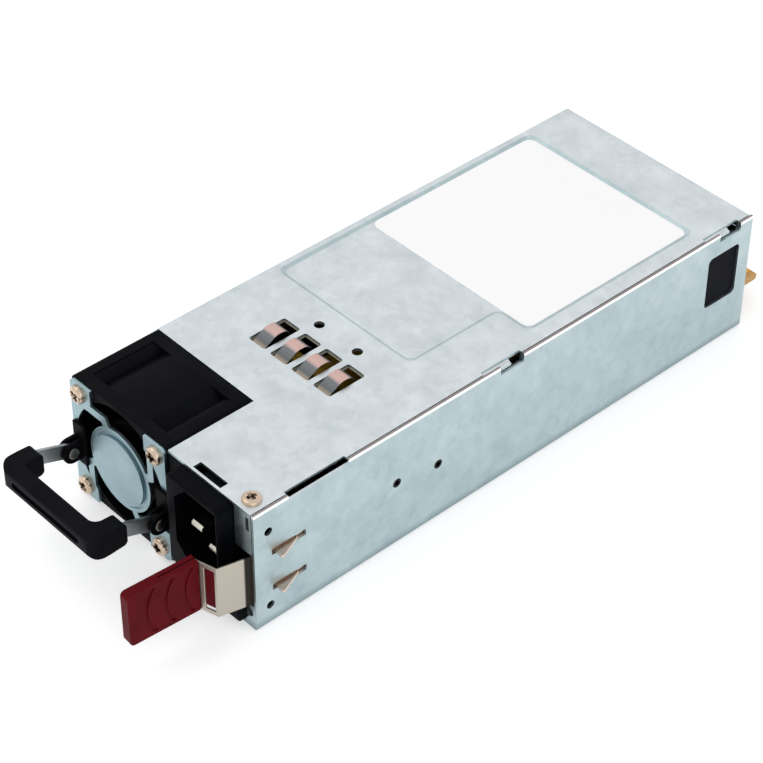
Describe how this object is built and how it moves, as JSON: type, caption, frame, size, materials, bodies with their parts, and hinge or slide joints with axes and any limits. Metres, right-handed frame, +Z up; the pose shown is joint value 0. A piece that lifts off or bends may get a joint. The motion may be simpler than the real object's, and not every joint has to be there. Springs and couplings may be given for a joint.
{
  "type": "server power supply",
  "caption": "Slim sheet metal hot swap server power supply with fan, AC inlet, fold-up handle, sprung side latch and rear card edge.",
  "frame": {"origin": "centre of the enclosure's flat underside", "axes": "+X to the right seen from the inlet end, +Y from the inlet end to the card edge, +Z up"},
  "size_m": [0.0764, 0.2305, 0.0417],
  "materials": {
    "zinc_sheet": "galvanised steel sheet, fine spangle, satin",
    "black_sheet": "black e-coated steel sheet, matt",
    "yellow_zinc": "yellow passivated zinc on steel screws",
    "spring_steel": "stainless spring strip, warm tint",
    "label_white": "blank white film label, smooth",
    "black_film": "black insulating film",
    "fan_black": "moulded black PBT, fine texture",
    "bearing_steel": "ground bearing steel",
    "copper_winding": "enamelled copper wire",
    "magnet_grey": "steel yoke with bonded magnet",
    "blue_steel": "blue passivated zinc on steel plate",
    "strap_steel": "nickel plated flat steel strap",
    "grip_black": "moulded black nylon, fine texture",
    "tab_red": "moulded dark red nylon",
    "inlet_black": "moulded black thermoplastic, semi matt",
    "pin_nickel": "nickel plated brass",
    "board_green": "solder resist on glass epoxy board",
    "film_yellow": "moulded box of a film capacitor",
    "ferrite": "sintered ferrite",
    "can_sleeve": "shrink sleeve on an aluminium can",
    "heatsink_alloy": "extruded aluminium, plain",
    "epoxy_black": "moulded epoxy package",
    "winding_tape": "polyester tape over a winding",
    "gold_contact": "hard gold on copper contacts",
    "copper_block": "bare copper"
  },
  "bodies": {
    "chassis": {"base_tray": "zinc_sheet", "top_cover": "zinc_sheet", "front_panel": "black_sheet", "cover_screw": "yellow_zinc", "grounding_springs": "spring_steel", "spec_label": "label_white", "insulator_sheet": "black_film", "fan_frame": "fan_black", "fan_bearings": "bearing_steel", "fan_stator": "copper_winding", "fan_guard": "blue_steel", "fan_screws": "yellow_zinc", "handle_bracket_left": "black_sheet", "handle_bracket_right": "black_sheet", "handle_rivets": "bearing_steel", "ac_inlet_body": "inlet_black", "inlet_pins": "pin_nickel", "inlet_card": "board_green", "latch_foot": "spring_steel", "latch_rivets": "bearing_steel", "main_board": "board_green", "board_standoffs": "pin_nickel", "board_screws": "bearing_steel", "emi_choke": "ferrite", "x_capacitor": "film_yellow", "fuse": "pin_nickel", "primary_heatsink": "heatsink_alloy", "power_transistors": "epoxy_black", "pfc_choke": "winding_tape", "bulk_capacitors": "can_sleeve", "transformer_core": "ferrite", "transformer_winding": "winding_tape", "secondary_heatsink": "heatsink_alloy", "output_capacitors": "can_sleeve", "control_card": "board_green", "output_card": "board_green", "card_contacts": "gold_contact", "card_blocks": "copper_block"},
    "rotor": {"fan_rotor": "fan_black", "fan_magnet_ring": "magnet_grey", "fan_shaft": "bearing_steel"},
    "handle": {"handle_strap": "strap_steel", "handle_grip": "grip_black"},
    "latch": {"latch_leaf": "spring_steel", "latch_tab": "tab_red"}
  },
  "joints": [
    {"name": "rotor_spin", "type": "hinge", "parent": "chassis", "child": "rotor", "pos_m": [-0.01675, -0.0775, 0.02], "axis": [0, 1, 0], "continuous": true},
    {"name": "handle_fold", "type": "hinge", "parent": "chassis", "child": "handle", "pos_m": [-0.01565, -0.0969, 0.0174], "axis": [-1, 0, 0], "range_deg": [0, 66]},
    {"name": "latch_press", "type": "hinge", "parent": "chassis", "child": "latch", "pos_m": [0.0355, -0.0483, 0.0172], "axis": [0, 0, -1], "range_deg": [0, 5.1], "stiffness_Nm_per_rad": 2.3}
  ]
}
